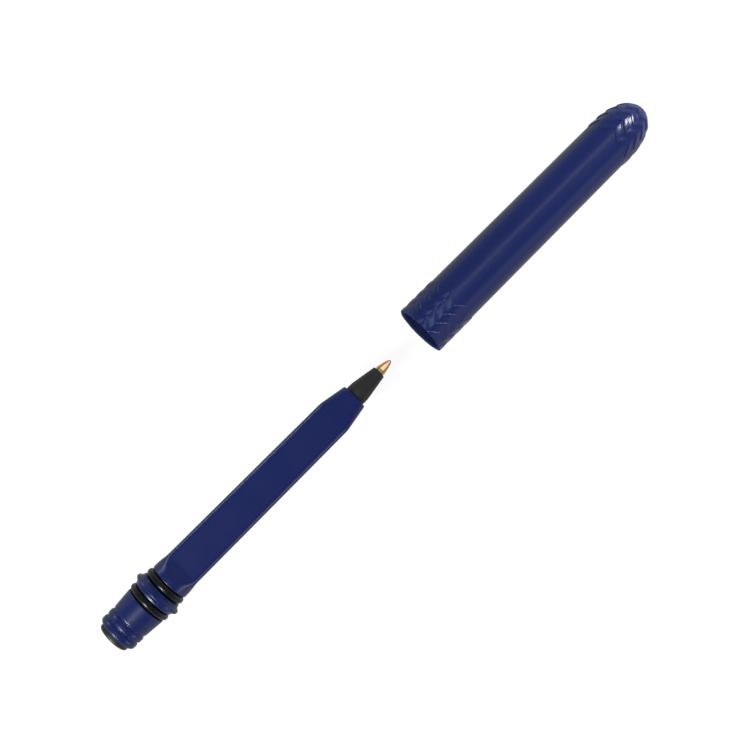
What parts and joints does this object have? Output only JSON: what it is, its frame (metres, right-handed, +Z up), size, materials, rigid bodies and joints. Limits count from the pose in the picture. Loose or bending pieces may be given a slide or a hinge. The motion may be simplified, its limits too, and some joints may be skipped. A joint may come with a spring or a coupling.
{
  "type": "pocket pen",
  "caption": "Short capped ballpoint pen with a three-sided grip, O-ring seals on the collar and a round-ended ribbed cap, shown with the cap pulled off.",
  "frame": {"origin": "on the surface the pen lies on, under the middle of the pen and its pulled-off cap", "axes": "+X along the pen from its tail to the cap's closed end, +Y across it, +Z up, out of the flat that faces up"},
  "size_m": [0.1802, 0.0134, 0.0135],
  "materials": {
    "navy_plastic": "moulded, satin gloss",
    "cap_plastic": "moulded, gloss",
    "black_plastic": "moulded, satin",
    "seal_rubber": "smooth, lightly greased",
    "point_brass": "turned, bright",
    "ball_metal": "ground",
    "milky_plastic": "extruded, translucent",
    "ink": "wet",
    "grease": "wet"
  },
  "bodies": {
    "pen_body": {"barrel": "navy_plastic", "end_plug": "black_plastic", "rear_o_ring": "seal_rubber", "front_o_ring": "seal_rubber", "nose_cone": "black_plastic", "writing_point": "point_brass", "ink_tube": "milky_plastic", "ink_column": "ink", "grease_follower": "grease"},
    "cap": {"cap": "cap_plastic"},
    "ball": {"ball": "ball_metal"}
  },
  "joints": [
    {"name": "cap_slide", "type": "slide", "parent": "pen_body", "child": "cap", "axis": [1, 0, 0], "range_m": [-0.0866, 0]},
    {"name": "ball_roll", "type": "hinge", "parent": "pen_body", "child": "ball", "pos_m": [0.00081, 0, 0.00675], "axis": [0, 1, 0], "continuous": true}
  ]
}
